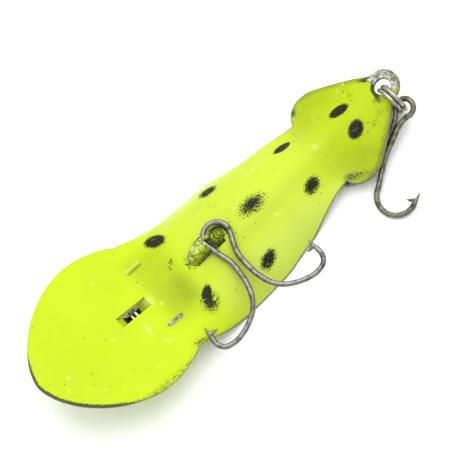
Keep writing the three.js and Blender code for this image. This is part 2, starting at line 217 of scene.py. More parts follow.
def half_width(x):
    """Half width of the sheet in plan."""
    x = np.asarray(x, float)
    along = -x / math.cos(LIP_TILT)
    back = (LIP_WIDEST_AT - along) / LIP_WIDEST_AT
    cheek = LIP_HALF_WIDTH - (LIP_HALF_WIDTH - NECK_HALF_WIDTH) * back ** 2
    t = np.clip((along - LIP_WIDEST_AT) / (LIP_LENGTH - LIP_WIDEST_AT), 0, 1)
    lip = np.where(along < LIP_WIDEST_AT, cheek, LIP_HALF_WIDTH * (1 - t ** 1.75) ** 0.6)
    tab = np.sqrt(np.maximum(TAB_RADIUS ** 2 - (x - HOLE_X) ** 2, 0))
    tail = np.where(x > HOLE_X, tab, tail_half_width(x))
    return np.where(x <= 0, lip, np.where(x <= NOTCH_X, body_half_width(x), tail))


def along_and_across(x, y, centre_x, centre_y, turn):
    """Distances along and across a mark whose long axis is turned from x by turn degrees."""
    a = math.radians(turn)
    along = (x - centre_x) * math.cos(a) + (y - centre_y) * math.sin(a)
    across = (y - centre_y) * math.cos(a) - (x - centre_x) * math.sin(a)
    return along, across


def rib_bump(x, y):
    """Height that the two pressed ribs add across the fold."""
    bump = 0
    for rib in (LEFT_RIB, RIGHT_RIB):
        along, across = along_and_across(x, y, *rib)
        ends = np.clip(1 - (along / RIB["half_length"]) ** 2, 0, 1) ** 0.6
        bump = bump + RIB["rise"] * ends * np.exp(-(across / RIB["half_width"]) ** 2)
    return bump


def height(x, y):
    """Height of the belly face, the lip's upper face with it."""
    x, y = np.broadcast_arrays(np.asarray(x, float), np.asarray(y, float))
    edge = edge_height(x)
    crown = np.where(x < NOTCH_X - 1, half_width(x), crown_half_width(x))
    t = np.clip(np.abs(y) / np.maximum(crown, 1e-3), 0, 1)
    dome = (1 - t ** 1.7) ** 0.59
    bell = 0.5 + 0.5 * np.cos(np.pi * t)
    shape = dome + (bell - dome) * smoothstep(x, 29, NOTCH_X)
    body = edge + (ridge_height(x) - edge) * shape
    return np.where(x <= LIP_BACK_X, lip_height(x), body) + rib_bump(x, y)


def belly_normal(x, y):
    """Unit normals of the belly face, pointing up and out."""
    d = 0.02
    room = half_width(x) - d
    side = np.clip(y, -room, room)
    dx = (height(x + d, side) - height(x - d, side)) / (2 * d)
    dy = (height(x, side + d) - height(x, side - d)) / (2 * d)
    out = np.stack([-dx, -dy, np.ones_like(dx)], axis=-1)
    return out / np.linalg.norm(out, axis=-1, keepdims=True)


# --- Mesh helpers -------------------------------------------------------------------------------

def new_object(name, points, faces):
    """A closed mesh object from fold-frame points, its faces turned outwards."""
    mesh = bpy.data.meshes.new(name)
    mesh.from_pydata(place(points).tolist(), [], [list(map(int, face)) for face in faces])
    mesh.update()
    mesh.shade_smooth()
    work = bmesh.new()
    work.from_mesh(mesh)
    bmesh.ops.recalc_face_normals(work, faces=work.faces)
    work.to_mesh(mesh)
    work.free()
    made = bpy.data.objects.new(name, mesh)
    bpy.context.scene.collection.objects.link(made)
    return made


def new_piece(name, points, faces, body, slot, material):
    """A smooth-shaded piece riding on a CAD body."""
    piece = new_object(name, points, faces)
    piece.data.materials.append(material)
    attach(piece, body)
    return piece


def sharpen(piece, degrees):
    """Shades a piece smooth except where its faces meet at more than an angle."""
    piece.data.shade_smooth()
    piece.data.set_sharp_from_angle(angle=math.radians(degrees))


def grid_faces(rows, columns, wrap=False):
    """Quads of a grid of rows by columns; wrap closes each row on itself."""
    i, j = np.meshgrid(np.arange(rows - 1), np.arange(columns if wrap else columns - 1), indexing="ij")
    after = (j + 1) % columns
    row, next_row = i * columns, (i + 1) * columns
    quads = np.stack([row + j, row + after, next_row + after, next_row + j], -1)
    return quads.reshape(-1, 4)


def catmull(points, per_span):
    """Centripetal Catmull-Rom line through points (the Barry-Goldman pyramid)."""
    p = [np.array(q, float) for q in points]
    p = [2 * p[0] - p[1], *p, 2 * p[-1] - p[-2]]

    def between(a, b, low, high, t):
        return ((high - t) * a + (t - low) * b) / (high - low)

    line = []
    for span in zip(p, p[1:], p[2:], p[3:]):
        steps = [max(np.linalg.norm(b - a), 1e-6) ** 0.5 for a, b in zip(span, span[1:])]
        knot = np.cumsum([0, *steps])
        for t in np.linspace(knot[1], knot[2], per_span, endpoint=False):
            first = [between(span[k], span[k + 1], knot[k], knot[k + 1], t) for k in range(3)]
            second = [between(first[k], first[k + 1], knot[k], knot[k + 2], t) for k in range(2)]
            line.append(between(second[0], second[1], knot[1], knot[2], t))
    line.append(p[-2])
    return np.array(line)


def tube(line, radii, sides=24):
    """Points and faces of a closed round tube along line, with a radius at each point."""
    line = np.asarray(line, float)
    tangent = np.gradient(line, axis=0)
    tangent /= np.linalg.norm(tangent, axis=1, keepdims=True)
    side = np.cross(tangent[0], (0.0, 0.0, 1.0))
    if np.linalg.norm(side) < 0.1:
        side = np.cross(tangent[0], (0.0, 1.0, 0.0))
    rings = []
    for point, way, radius in zip(line, tangent, radii):
        side = side - way * np.dot(side, way)
        side /= np.linalg.norm(side)
        up = np.cross(way, side)
        angle = np.linspace(0, 2 * math.pi, sides, endpoint=False)[:, None]
        rings.append(point + radius * (np.cos(angle) * side + np.sin(angle) * up))
    points = np.concatenate([*rings, line[:1], line[-1:]])
    faces = [list(q) for q in grid_faces(len(line), sides, wrap=True)]
    first, last = len(points) - 2, len(points) - 1
    base = (len(line) - 1) * sides
    for k in range(sides):
        after = (k + 1) % sides
        faces.append([first, after, k])
        faces.append([last, base + k, base + after])
    return points, faces


def joined(*parts):
    """Several (points, faces) as one."""
    points, faces, count = [], [], 0
    for part_points, part_faces in parts:
        points.append(part_points)
        faces += [[index + count for index in face] for face in part_faces]
        count += len(part_points)
    return np.concatenate(points), faces


def cut(piece, cutter_points, cutter_faces):
    """Subtracts a closed cutter from piece and applies the result."""
    cutter = new_object("cutter", cutter_points, cutter_faces)
    step = piece.modifiers.new("cut", "BOOLEAN")
    step.operation = "DIFFERENCE"
    step.solver = "EXACT"
    step.object = cutter
    bpy.context.view_layer.update()
    made = bpy.data.meshes.new_from_object(piece.evaluated_get(bpy.context.evaluated_depsgraph_get()))
    piece.modifiers.remove(step)
    piece.data = made
    bpy.data.objects.remove(cutter)


def box_solid(low, high):
    """Points and faces of a box."""
    corners = [(x, y, z) for x in (low[0], high[0]) for y in (low[1], high[1]) for z in (low[2], high[2])]
    faces = [(0, 1, 3, 2), (4, 6, 7, 5), (0, 4, 5, 1), (2, 3, 7, 6), (0, 2, 6, 4), (1, 5, 7, 3)]
    return np.array(corners, float), faces


def column_solid(x, radius, low, high, sides=64):
    """Points and faces of an upright round column on y = 0."""
    angle = np.linspace(0, 2 * math.pi, sides, endpoint=False)
    ring = np.stack([x + radius * np.cos(angle), radius * np.sin(angle)], 1)
    points = np.concatenate([np.column_stack([ring, np.full(sides, level)]) for level in (low, high)])
    walls = [[k, (k + 1) % sides, sides + (k + 1) % sides, sides + k] for k in range(sides)]
    return points, [*walls, list(range(sides - 1, -1, -1)), list(range(sides, 2 * sides))]


# --- Node materials -----------------------------------------------------------------------------

class Shader:
    """A short way to write a node material."""

    def __init__(self, name):
        self.material = bpy.data.materials.new(name)
        self.material.use_nodes = True
        self.tree = self.material.node_tree
        self.tree.nodes.clear()
        self.surface = self.tree.nodes.new("ShaderNodeBsdfPrincipled")
        output = self.tree.nodes.new("ShaderNodeOutputMaterial")
        self.tree.links.new(self.surface.outputs[0], output.inputs[0])
        self.coordinates = self.node("ShaderNodeTexCoord").outputs["Object"]

    def node(self, kind, **settings):
        made = self.tree.nodes.new(kind)
        for key, value in settings.items():
            setattr(made, key, value)
        return made

    def feed(self, socket, value):
        if isinstance(value, bpy.types.NodeSocket):
            self.tree.links.new(value, socket)
        else:
            socket.default_value = value

    def math(self, operation, *values, clamp=False):
        made = self.node("ShaderNodeMath", operation=operation, use_clamp=clamp)
        for socket, value in zip(made.inputs, values):
            self.feed(socket, value)
        return made.outputs[0]

    def noise(self, scale, detail=4.0, roughness=0.55, stretch=(1, 1, 1), offset=0.0):
        """Noise from about 0 to 1; scale is in features per metre."""
        mapping = self.node("ShaderNodeMapping")
        self.feed(mapping.inputs["Vector"], self.coordinates)
        mapping.inputs["Scale"].default_value = stretch
        mapping.inputs["Location"].default_value = (offset, offset * 1.7, -offset)
        made = self.node("ShaderNodeTexNoise")
        self.feed(made.inputs["Vector"], mapping.outputs[0])
        made.inputs["Scale"].default_value = scale
        made.inputs["Detail"].default_value = detail
        made.inputs["Roughness"].default_value = roughness
        return made.outputs["Fac"]

    def cells(self, scale, feature="F1", offset=0.0):
        """Distance to the nearest of scattered points, or to the edge between two cells."""
        mapping = self.node("ShaderNodeMapping")
        self.feed(mapping.inputs["Vector"], self.coordinates)
        mapping.inputs["Location"].default_value = (offset, -offset, offset)
        made = self.node("ShaderNodeTexVoronoi", feature=feature)
        self.feed(made.inputs["Vector"], mapping.outputs[0])
        made.inputs["Scale"].default_value = scale
        return made.outputs["Distance"]

    def attribute(self, name):
        return self.node("ShaderNodeAttribute", attribute_name=name).outputs["Fac"]

    def ramp(self, value, low, high, to_low=0.0, to_high=1.0):
        made = self.node("ShaderNodeMapRange", interpolation_type="SMOOTHSTEP")
        for socket, number in zip(made.inputs, (value, low, high, to_low, to_high)):
            self.feed(socket, number)
        return made.outputs[0]

    def mix(self, factor, first, second):
        made = self.node("ShaderNodeMix", data_type="RGBA")
        self.feed(made.inputs[0], factor)
        self.feed(made.inputs[6], first)
        self.feed(made.inputs[7], second)
        return made.outputs[2]

    def blend(self, factor, first, second):
        made = self.node("ShaderNodeMix", data_type="FLOAT")
        self.feed(made.inputs[0], factor)
        self.feed(made.inputs[2], first)
        self.feed(made.inputs[3], second)
        return made.outputs[0]

    def swing(self, noise, amount, middle=0.5):
        """Noise about its middle, times an amount."""
        return self.math("MULTIPLY", self.math("SUBTRACT", noise, middle), amount)

    def over(self, colour, cover, strength, layer):
        """Colour with a layer over it wherever cover is above zero."""
        return self.mix(self.math("MULTIPLY", cover, strength), colour, layer)

    def bump(self, value, strength, distance, under=None):
        made = self.node("ShaderNodeBump")
        made.inputs["Strength"].default_value = strength
        made.inputs["Distance"].default_value = distance
        self.feed(made.inputs["Height"], value)
        if under is not None:
            self.feed(made.inputs["Normal"], under)
        return made.outputs[0]


CHARTREUSE = (0.44, 0.575, 0.005, 1)
DEEP_CHARTREUSE = (0.365, 0.49, 0.004, 1)
SHADED_CHARTREUSE = (0.17, 0.225, 0.004, 1)
PALE_WEAR_AND_HIGHLIGHT = (0.60, 0.67, 0.26, 1)
RIM_GREY = (0.15, 0.15, 0.105, 1)
BLACK_PAINT = (0.008, 0.009, 0.006, 1)
GRIME_AND_SHADOW = (0.028, 0.03, 0.010, 1)
BARE_METAL = (0.50, 0.50, 0.45, 1)
STAINED_METAL = (0.13, 0.13, 0.09, 1)
PIT_BROWN = (0.05, 0.045, 0.035, 1)
PAINT_SPECULAR = 0.13
FLOOR_WHITE, FLOOR_BRIGHT = (0.93, 0.93, 0.935, 1), (0.95, 0.95, 0.955, 1)

# Light and dark colour, roughness and share of stains of each wire
BELLY_STEEL = ((0.27, 0.26, 0.245, 1), (0.07, 0.066, 0.058, 1), 0.32, 0.07)
TAIL_STEEL = ((0.24, 0.24, 0.185, 1), (0.075, 0.075, 0.05, 1), 0.42, 0.1)
RING_STEEL = ((0.48, 0.46, 0.41, 1), (0.06, 0.056, 0.044, 1), 0.2, 0.06)


def sprayed_spots(s, mist):
    """Cover of the black spots: solid inside, dusty outside, scratched where they are speckled."""
    speckle = s.attribute("speckle")
    wobble = s.swing(mist, s.blend(speckle, 0.5, 4.0))
    spot = s.ramp(s.math("ADD", s.attribute("spot"), wobble), -0.08, 0.12)
    scratch = s.ramp(s.noise(1500, 3, 0.6, stretch=(0.5, 1, 1), offset=0.3), 0.60, 0.68)
    kept = s.math("SUBTRACT", 1.0, s.math("MULTIPLY", scratch, speckle), clamp=True)
    return s.math("MULTIPLY", spot, kept)


def small_wear(s, colour, mist, grain):
    """Colour with scattered dark specks, small stains and pale flecks."""
    speck_reach = s.math("ADD", s.cells(700, offset=0.13), s.swing(mist, 0.55))
    speck_areas = s.ramp(s.noise(150, 2, 0.5, offset=0.5), 0.53, 0.6)
    specks = s.math("MULTIPLY", s.ramp(speck_reach, 0.15, 0.06), speck_areas)
    colour = s.over(colour, specks, 0.6, GRIME_AND_SHADOW)
    stain_areas = s.ramp(s.noise(95, 2, 0.5, offset=1.3), 0.56, 0.66)
    stains = s.math("MULTIPLY", s.ramp(grain, 0.62, 0.72), stain_areas)
    colour = s.over(colour, stains, 0.55, GRIME_AND_SHADOW)
    fleck_reach = s.math("ADD", s.cells(420, offset=0.41), s.swing(grain, 0.5))
    fleck_areas = s.ramp(s.noise(120, 2, 0.5, offset=0.9), 0.54, 0.62)
    flecks = s.math("MULTIPLY", s.ramp(fleck_reach, 0.17, 0.09), fleck_areas)
    return s.over(colour, flecks, 0.55, PALE_WEAR_AND_HIGHLIGHT)


def paint_cracks(s, grain):
    """Cover of the cracks in the paint on the bridge and round its feet."""
    cells = s.cells(760, "DISTANCE_TO_EDGE", offset=0.2)
    lines = s.ramp(s.math("ADD", cells, s.swing(grain, 0.45, middle=0.42)), 0.13, 0.05)
    return s.math("MULTIPLY", lines, s.ramp(s.attribute("crack"), 0.25, 0.7))


def paint_material(name):
    """Worn chartreuse enamel over steel, with black sprayed spots, grime, chips and bare metal, and painted
    shade, shadows and highlights.
    """
    s = Shader(name)
    grain = s.noise(2300, 4, 0.65, offset=0.31)
    mist = s.noise(5200, 2, 0.6, offset=0.77)
    broad = s.noise(70, 3, 0.5)
    colour = s.mix(s.ramp(broad, 0.35, 0.7, 0.0, 0.35), CHARTREUSE, DEEP_CHARTREUSE)
    # Painted shade: the tone attribute darkens the paint towards the shaded colour on the tail, the ramp
    # behind the fold, beside the left rib, along the body and on the strips
    cloud = s.ramp(s.noise(330, 4, 0.6, offset=1.1), 0.3, 0.7, 0.85, 1.15)
    colour = s.over(colour, s.attribute("tone"), cloud, SHADED_CHARTREUSE)
    # Paler paint where it is worn, and painted highlights on the flanks, the left rib, the front of the
    # bridge and the line tie's slope
    colour = s.mix(s.attribute("pale"), colour, PALE_WEAR_AND_HIGHLIGHT)
    colour = s.over(colour, sprayed_spots(s, mist), 0.99, BLACK_PAINT)
    # Grime, and painted shadow under the belly hook's loop, beside the tail hole and along the bridge
    smudge = s.ramp(s.math("ADD", s.attribute("smudge"), s.swing(mist, 1.8)), 0.38, 0.62)
    colour = s.over(colour, smudge, 0.95, GRIME_AND_SHADOW)
    colour = small_wear(s, colour, mist, grain)
    colour = s.mix(s.attribute("rim"), colour, RIM_GREY)
    cracks = paint_cracks(s, grain)
    colour = s.over(colour, cracks, 0.75, GRIME_AND_SHADOW)

    bare = s.ramp(s.math("ADD", s.attribute("bare"), s.swing(grain, 1.5)), 0.46, 0.58)
    stain = s.ramp(s.noise(1300, 4, 0.6, offset=0.2), 0.35, 0.68)
    colour = s.mix(bare, colour, s.mix(stain, STAINED_METAL, BARE_METAL))

    s.feed(s.surface.inputs["Base Color"], colour)
    s.feed(s.surface.inputs["Metallic"], s.math("MULTIPLY", bare, 0.85))
    paint_gloss = s.ramp(s.noise(240, 4, 0.6, offset=0.6), 0.3, 0.75, 0.36, 0.56)
    s.feed(s.surface.inputs["Roughness"], s.blend(bare, paint_gloss, 0.5))
    s.surface.inputs["Specular IOR Level"].default_value = PAINT_SPECULAR
    ripple = s.bump(s.noise(650, 3, 0.5, offset=0.4), 0.12, 0.0002)
    texture = s.bump(s.noise(4200, 3, 0.6), 0.10, 0.00008, ripple)
    worn = s.math("ADD", bare, s.math("MULTIPLY", cracks, 0.7))
    s.feed(s.surface.inputs["Normal"], s.bump(s.math("SUBTRACT", 1.0, worn), 0.6, 0.00012, texture))
    return s.material


def wire_material(name, light, dark, roughness, stains):
    """Plated steel wire with tarnish and small pits."""
    s = Shader(name)
    stain = s.ramp(s.noise(900, 5, 0.65), 0.5 - stains, 0.78 - stains)
    mottle = s.ramp(s.noise(3300, 3, 0.6, offset=0.2), 0.3, 0.75, 0.0, 0.45)
    colour = s.mix(stain, light, dark)
    colour = s.mix(mottle, colour, dark)
    pit_areas = s.ramp(s.noise(500, 2, 0.5, offset=0.7), 0.52, 0.62)
    pits = s.math("MULTIPLY", s.ramp(s.cells(2600, offset=0.3), 0.22, 0.08), pit_areas)
    s.feed(s.surface.inputs["Base Color"], s.over(colour, pits, 0.8, PIT_BROWN))
    s.surface.inputs["Metallic"].default_value = 1.0
    s.feed(s.surface.inputs["Roughness"], s.blend(stain, roughness, roughness + 0.22))
    rough = s.bump(s.noise(5200, 3, 0.6, offset=0.5), 0.25, 0.00005)
    s.feed(s.surface.inputs["Normal"], s.bump(s.math("SUBTRACT", 1.0, pits), 0.5, 0.00006, rough))
    return s.material


# --- The stamped sheet --------------------------------------------------------------------------

def sheet_stations():
    """x of each row of the sheet's grid, crowded where the outline turns quickly."""
    end_gap, fold_end, flare_end = 0.01, 3, 43
    front = end_gap - LIP_LENGTH * math.cos(LIP_TILT)
    lip = front + (LIP_BACK_X - front) * (1 - np.cos(math.pi / 2 * np.linspace(0, 1, 91)))
    fold = np.linspace(LIP_BACK_X, fold_end, 27)[1:]
    body = np.linspace(fold_end, NOTCH_X, 150)[1:]
    notch = np.linspace(NOTCH_X, flare_end, 36)[1:]
    share = np.sin(math.pi / 2 * np.linspace(0, 1, 110)[1:])
    tail = flare_end + (TAIL_END_X - end_gap - flare_end) * share
    return np.concatenate([lip, fold, body, notch, tail])


def sheet_solid():
    """Points and faces of the closed sheet: belly face, back face and a rolled edge all round."""
    x = sheet_stations()
    across = 150
    share = np.sin(math.pi / 2 * np.linspace(-1, 1, across + 1))
    X = np.repeat(x[:, None], across + 1, axis=1)
    Y = half_width(x)[:, None] * share
    top = np.stack([X, Y, height(X, Y)], axis=-1)
    bottom = top - SHEET * belly_normal(X, Y)
    rows, columns = X.shape
    points = [top.reshape(-1, 3), bottom.reshape(-1, 3)]
    face_top = grid_faces(rows, columns)
    face_bottom = grid_faces(rows, columns)[:, ::-1] + rows * columns

    # The rim runs round the grid: right side forwards, tail end, left side back, front end
    right = [(i, 0) for i in range(rows)]
    tail = [(rows - 1, j) for j in range(1, columns)]
    left = [(i, across) for i in range(rows - 2, -1, -1)]
    front = [(0, j) for j in range(across - 1, 0, -1)]
    rim = right + tail + left + front
    rim_top = np.array([i * columns + j for i, j in rim])
    upper = points[0][rim_top]
    lower = points[1][rim_top]
    along = np.roll(upper, -2, axis=0) - np.roll(upper, 2, axis=0)
    outward = np.cross(along, upper - lower)
    outward /= np.maximum(np.linalg.norm(outward, axis=1, keepdims=True), 1e-9)
    middle = (upper + lower) / 2
    arcs = []
    for angle in np.radians([54, 18, -18, -54]):
        bulge = ROLLED_EDGE * math.cos(angle) - ROLLED_EDGE * 0.35
        arcs.append(middle + (upper - middle) * math.sin(angle) + outward * bulge)
    count = 2 * rows * columns
    between = [count + k * len(rim) + np.arange(len(rim)) for k in range(len(arcs))]
    rings = [rim_top, *between, rim_top + rows * columns]
    walls = []
    for above, below in zip(rings, rings[1:]):
        walls.append(np.stack([above, below, np.roll(below, -1), np.roll(above, -1)], axis=-1))
    points = np.concatenate([*points, *arcs])
    points[:, 2] = np.maximum(points[:, 2], 0.0)
    return points, np.concatenate([face_top[:, ::-1], face_bottom[:, ::-1], *walls])


def outline_distance(points):
    """Distance in plan from each point to the sheet's outline."""
    x = sheet_stations()
    rim = np.concatenate([np.stack([x, half_width(x)], 1), np.stack([x, -half_width(x)], 1)])
    nearest = np.full(len(points), 1e9)
    for start in range(0, len(rim), 40):
        part = rim[start:start + 40]
        gap = np.linalg.norm(points[:, None, :2] - part[None], axis=-1).min(axis=1)
        nearest = np.minimum(nearest, gap)
    return nearest


def patches(x, y, rows):
    """Sum of the soft patches of one mark."""
    total = np.zeros(len(x))
    for strength, centre_x, centre_y, reach_along, reach_across, turn in rows:
        along, across = along_and_across(x, y, centre_x, centre_y, turn)
        total += strength * np.exp(-(along / reach_along) ** 2 - (across / reach_across) ** 2)
    return total


def spot_marks(x, y, belly):
    """How far inside a black spot each point is, and how speckled the nearest spot is."""
    spot = np.full(len(x), NO_SPOT)
    speckle = np.zeros(len(x))
    for centre_x, centre_y, length, width, turn, dots in SPOTS:
        along, across = along_and_across(x, y, centre_x, centre_y, turn)
        inside = 1 - np.hypot(along / length, across / width)
        speckle = np.where(inside > spot, dots, speckle)
        spot = np.maximum(spot, inside)
    return np.where(belly > 0.5, spot, NO_SPOT), speckle


def grime_and_shadow_marks(x, y, edge, from_hole):
    """Grime in patches and along the edges, and painted shadow along the bridge, under the belly hook's loop
    and beside the tail hole.
    """
    darkening = patches(x, y, NOTCH_DIRT + TAIL_DIRT + FRONT_DIRT + BRIDGE_GRIME_AND_SHADOW)
    # Painted shadow in an arc under the inner side of the belly hook's loop
    under_loop = smoothstep(x - LOOP_SHADOW["x"] + 0.7 * y, 0.2, 1.4)
    from_loop = np.hypot(x - LOOP_SHADOW["x"], y - LOOP_SHADOW["y"]) - LOOP_SHADOW["radius"]
    darkening += 1.2 * under_loop * np.exp(-(from_loop / 0.45) ** 2)
    # Painted shadow in a crescent just outside the tail hole, on its front-left side
    towards_left = smoothstep(HOLE_X - x + y, 0.3, 1.6)
    darkening += 1.2 * smoothstep(from_hole, 2.5, 2.05) * towards_left
    lip_front = smoothstep(x, -13, -20) * smoothstep(y, 9, 2)
    return darkening + 0.16 * np.exp(-(edge / 0.8) ** 2) + 0.95 * np.exp(-(edge / 0.45) ** 2) * lip_front


def bare_marks(x, y, belly, from_hole):
    """Bare metal on the tab round the tail hole and on the right rib."""
    bare = 0.85 * smoothstep(from_hole, 4.6, 2.6) * smoothstep(x + 0.5 * y, 56.6, 58.2)
    along, across = along_and_across(x, y, *RIGHT_RIB)
    bare += 1.1 * smoothstep(np.abs(across), 0.46, 0.3) * smoothstep(np.abs(along), 1.95, 1.55)
    return np.where(belly > 0.5, bare, NO_BARE)


def worn_and_highlight_marks(x, y, belly):
    """A painted highlight on the left rib and along the flanks, and paint worn thin in patches and in a small
    ring at the waist.
    """
    # Painted highlight along the top of the left rib
    along, across = along_and_across(x, y, *LEFT_RIB)
    pale = 0.34 * smoothstep(np.abs(across - 0.15), 0.6, 0.1) * smoothstep(np.abs(along), 2.0, 1.2)
    pale += patches(x, y, WORN_PALE)
    from_ring = np.hypot(x - WAIST_RING["x"], y) - WAIST_RING["radius"]
    pale += 0.4 * smoothstep(np.abs(from_ring), 0.25, 0.1)
    # Painted highlight: the flanks lighter, the left flank most
    trunk = smoothstep(x, 3, 16) * smoothstep(x, 48, 30)
    pale += trunk * (0.12 + 0.26 * smoothstep(y, 8.5, 12.0) + 0.14 * smoothstep(y, -4, -8))
    return np.clip(pale * belly, 0, 1)


def painted_shade_marks(x, y, belly, edge):
    """Painted shade on the tail and its edges, on the ramp behind the fold, in a line beside the left rib and
    in hollows along the body.
    """
    tail = smoothstep(x, 37, 44)
    tone = tail * (0.24 + 0.2 * smoothstep(np.abs(y), 3.0, 8.5) + patches(x, y, TAIL_SHADE))
    ramp = smoothstep(x, -2.5, 1.0) * smoothstep(x, 9.0, 5.0)
    tone += ramp * (0.34 * smoothstep(np.abs(y - 1), 10.5, 6) + patches(x, y, RAMP_SHADE))
    # Painted shadow along the lower side of the left rib
    along, across = along_and_across(x, y, *LEFT_RIB)
    tone += 0.75 * np.exp(-((across + 0.5) / 0.22) ** 2) * smoothstep(np.abs(along), 1.9, 1.3)
    tone += patches(x, y, BODY_SHADE)
    # Painted shade towards the outer edges of the tail lobes
    tone += 0.3 * belly * smoothstep(edge, 1.1, 0.4) * smoothstep(x, 40, 44)
    return np.clip(tone, 0, 1)


def rim_marks(x, y, belly, rolled, edge):
    """Worn grey along the rolled edge, thinner beside the lip's right side."""
    upper_line = 0.8 * belly * smoothstep(edge, 0.26, 0.12) * smoothstep(x, -2, 3)
    lip_right = smoothstep(y, -4, -10) * smoothstep(x, 0, -3)
    side = rolled * smoothstep(edge, 0.3, 0.1) * (1 - 0.45 * lip_right)
    return np.maximum(upper_line, side)


def paint_marks(piece):
    """Stores how likely each mark of the paint is at each vertex, for the paint material."""
    points = fold_points(piece.data)
    x, y, z = points.T
    above = z - height(x, np.clip(y, -half_width(x), half_width(x)))
    belly = smoothstep(above, -0.5, -0.2)
    rolled = 1 - smoothstep(np.abs(above + SHEET / 2), 0.2, 0.45)
    edge = outline_distance(points)
    from_hole = np.hypot(x - HOLE_X, y)
    spot, speckle = spot_marks(x, y, belly)
    store_marks(piece.data, {"tone": painted_shade_marks(x, y, belly, edge), "spot": spot, "speckle": speckle,
                             "smudge": grime_and_shadow_marks(x, y, edge, from_hole), "crack": patches(x, y, CRACKED),
                             "bare": bare_marks(x, y, belly, from_hole), "pale": worn_and_highlight_marks(x, y, belly),
                             "rim": rim_marks(x, y, belly, rolled, edge)})


def store_marks(mesh, marks):
    """Writes each mark's values as a vertex attribute, which the paint material reads by name."""
    for name, values in marks.items():
        layer = mesh.attributes.new(name, "FLOAT", "POINT")
        layer.data.foreach_set("value", np.asarray(values, np.float32))


def build_sheet(material):
    """The stamped sheet with its tail hole and its two slots."""
    sheet = new_piece("stamped_sheet", *sheet_solid(), "body", "yellow_paint", material)
    cut(sheet, *column_solid(HOLE_X, HOLE_RADIUS, CUT_LOW, CUT_HIGH))
    half = BRIDGE_SLOT["half_width"]
    cut(sheet, *box_solid((BRIDGE_SLOT["from"], -half, CUT_LOW), (BRIDGE_SLOT["to"], half, CUT_HIGH)))
    half = LINE_TIE["slot_width"] / 2
    slot, slot_faces = box_solid((LINE_TIE["front"], -half, CUT_LOW), (LINE_TIE["back"], half, CUT_HIGH))
    cut(sheet, turned_with_tie(slot), slot_faces)
    sharpen(sheet, 42)
    paint_marks(sheet)
    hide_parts("lure_body")


def strip_solid(line, strip):
    """A strip of rounded-rectangle section along a line of (x, z), centred on y = 0.

    Its left and right edges are bent down by the strip's left_drop and right_drop.
    """
    width, thick = strip["width"], strip["thick"]
    way = np.gradient(line, axis=0)
    way /= np.linalg.norm(way, axis=1, keepdims=True)
    up = np.stack([-way[:, 1], way[:, 0]], axis=1)
    side_y, side_z = width / 2 - STRIP_CORNER, thick / 2 - STRIP_CORNER
    section = []
    flats = np.linspace(1, -1, 9)[1:-1] * side_y
    for sign_y, sign_z, start in ((1, 1, 0), (-1, 1, 90), (-1, -1, 180), (1, -1, 270)):
        for angle in np.radians(start + np.array([0, 30, 60, 90])):
            section.append((sign_y * side_y + STRIP_CORNER * math.cos(angle),
                            sign_z * side_z + STRIP_CORNER * math.sin(angle)))
        if start in (0, 180):
            section += [(sign_z * y, sign_z * thick / 2) for y in flats]
    rings = []
    for (x, z), (nx, nz) in zip(line, up):
        for y, rise in section:
            drop = strip.get("left_drop", 0) if y > 0 else strip.get("right_drop", 0)
            offset = rise - thick / 2 - drop * (2 * y / width) ** 2
            rings.append((x + nx * offset, y, z + nz * offset))
    size = len(section)
    faces = [list(q) for q in grid_faces(len(line), size, wrap=True)]
    faces.append(list(range(size - 1, -1, -1)))
    faces.append(list(range((len(line) - 1) * size, len(line) * size)))
    return np.array(rings), faces


def bridge_marks(x, y):
    """A painted highlight on the cracked half in front of the notch, painted shade on its right side, and
    darker paint behind the notch and along its right edge.
    """
    notch = BRIDGE_NOTCH["from"]
    behind = smoothstep(x, notch + 0.5, notch + 1.5)
    # The pale front half is a painted highlight; tone is painted shade on the right side and behind the notch
    return {"pale": 0.5 * smoothstep(x, notch + 0.4, notch - 0.2) * smoothstep(y, -0.9, 0.1),
            "tone": 0.22 + 0.4 * smoothstep(y, -0.2, -0.9) + 0.25 * smoothstep(x, notch, notch + 0.8),
            "smudge": 0.26 + 0.25 * behind + 0.3 * smoothstep(y, -1.2, -1.4),
            "bare": 0.85 * np.exp(-((x - notch - 0.1) / 0.5) ** 2),
            "crack": 0.9 + 0.5 * smoothstep(x, 12.5, 10) + 0.3 * smoothstep(y, 0.6, 1.3)}


def tie_marks(x, y):
    """Painted shade over the strip, black spray round the ring that also stands in for the deep shade in the
    slot, and a painted highlight on the slope towards the body.
    """
    return {"tone": np.full(len(x), 0.3),
            "spot": 1.2 - 2.4 * smoothstep(np.abs(x - LINE_TIE["spray_x"]), 1.5, 1.9),
            "pale": 0.35 * smoothstep(x, -3.2, -2.2)}


def mark_strip(piece, marks_at):
    """Stores the paint marks of a lanced strip, plain ones where marks_at(x, y) gives none."""
    x, y, _ = fold_points(piece.data).T
    # Plain strips get a little painted shade and some grime
    plain = {"tone": 0.1, "spot": NO_SPOT, "smudge": 0.3}
    marks = {name: np.zeros(len(x)) for name in ("speckle", "bare", "crack", "pale", "rim")}
    marks.update({name: np.full(len(x), value) for name, value in plain.items()})
    marks.update(marks_at(x, y))
    store_marks(piece.data, marks)


def build_bridge(material):
    """The strip lanced up out of the belly, which the belly hook's eye is threaded on."""
    x = np.linspace(BRIDGE_RISE[0][0], BRIDGE_RISE[-1][0], 70)
    line = np.stack([x, ridge_height(x) + bridge_rise(x)], axis=1)
    bridge = new_piece("hook_bridge", *strip_solid(line, BRIDGE), "body", "yellow_paint", material)
    notch_low = (BRIDGE_NOTCH["from"], -BRIDGE["width"], BRIDGE_NOTCH["low"])
    cut(bridge, *box_solid(notch_low, (BRIDGE_NOTCH["to"], BRIDGE_NOTCH["left"], BRIDGE_NOTCH["high"])))
    sharpen(bridge, 50)
    mark_strip(bridge, bridge_marks)


